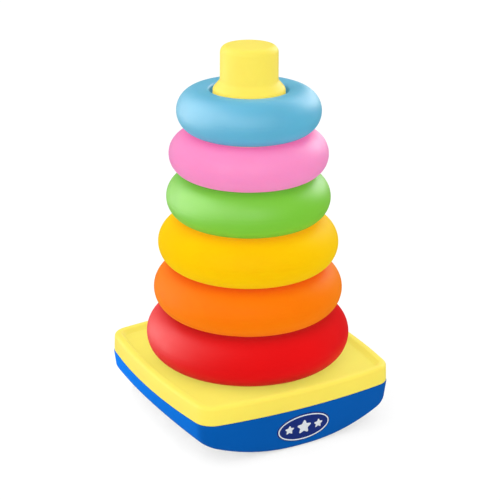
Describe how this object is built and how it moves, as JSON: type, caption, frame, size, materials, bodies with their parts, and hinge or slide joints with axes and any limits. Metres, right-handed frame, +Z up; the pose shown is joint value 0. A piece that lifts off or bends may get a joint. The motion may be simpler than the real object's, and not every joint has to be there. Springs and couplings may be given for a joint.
{
  "type": "ring stacking toy",
  "caption": "Graded round rings stacked on a stepped post over a square base with a curved underside, so that the tower rocks. The rings lift off one after another.",
  "frame": {"origin": "middle of the narrow flat land under the rocker, on the post's axis, the object's lowest place", "axes": "+Z up along the post, -Y out of the wall with the badge, +X along the rocking direction"},
  "size_m": [0.15, 0.15, 0.2464],
  "materials": {
    "lemon_plastic": "moulded, satin gloss",
    "blue_plastic": "moulded, satin gloss",
    "navy_plastic": "moulded, satin gloss",
    "red_plastic": "moulded, satin gloss",
    "orange_plastic": "moulded, satin gloss",
    "amber_plastic": "moulded, satin gloss",
    "green_plastic": "moulded, satin gloss",
    "pink_plastic": "moulded, satin gloss",
    "sky_plastic": "moulded, satin gloss",
    "screw_steel": "zinc-plated"
  },
  "bodies": {
    "base": {"rocker_tray": "blue_plastic", "base_lid": "lemon_plastic", "post": "lemon_plastic", "badge": "navy_plastic", "case_screw_1": "screw_steel", "case_screw_2": "screw_steel", "case_screw_3": "screw_steel", "case_screw_4": "screw_steel", "post_screw_1": "screw_steel", "post_screw_2": "screw_steel", "post_screw_3": "screw_steel", "post_screw_4": "screw_steel"},
    "ring_red": {"ring_red_lower": "red_plastic", "ring_red_upper": "red_plastic"},
    "ring_orange": {"ring_orange_lower": "orange_plastic", "ring_orange_upper": "orange_plastic"},
    "ring_amber": {"ring_amber_lower": "amber_plastic", "ring_amber_upper": "amber_plastic"},
    "ring_green": {"ring_green_lower": "green_plastic", "ring_green_upper": "green_plastic"},
    "ring_pink": {"ring_pink_lower": "pink_plastic", "ring_pink_upper": "pink_plastic"},
    "ring_sky": {"ring_sky_lower": "sky_plastic", "ring_sky_upper": "sky_plastic"}
  },
  "joints": [
    {"name": "lift_red", "type": "slide", "parent": "base", "child": "ring_red", "axis": [0, 0, 1], "range_m": [0, 0.212]},
    {"name": "lift_orange", "type": "slide", "parent": "ring_red", "child": "ring_orange", "axis": [0, 0, 1], "range_m": [0, 0.18]},
    {"name": "lift_amber", "type": "slide", "parent": "ring_orange", "child": "ring_amber", "axis": [0, 0, 1], "range_m": [0, 0.149]},
    {"name": "lift_green", "type": "slide", "parent": "ring_amber", "child": "ring_green", "axis": [0, 0, 1], "range_m": [0, 0.117]},
    {"name": "lift_pink", "type": "slide", "parent": "ring_green", "child": "ring_pink", "axis": [0, 0, 1], "range_m": [0, 0.088]},
    {"name": "lift_sky", "type": "slide", "parent": "ring_pink", "child": "ring_sky", "axis": [0, 0, 1], "range_m": [0, 0.06]}
  ]
}
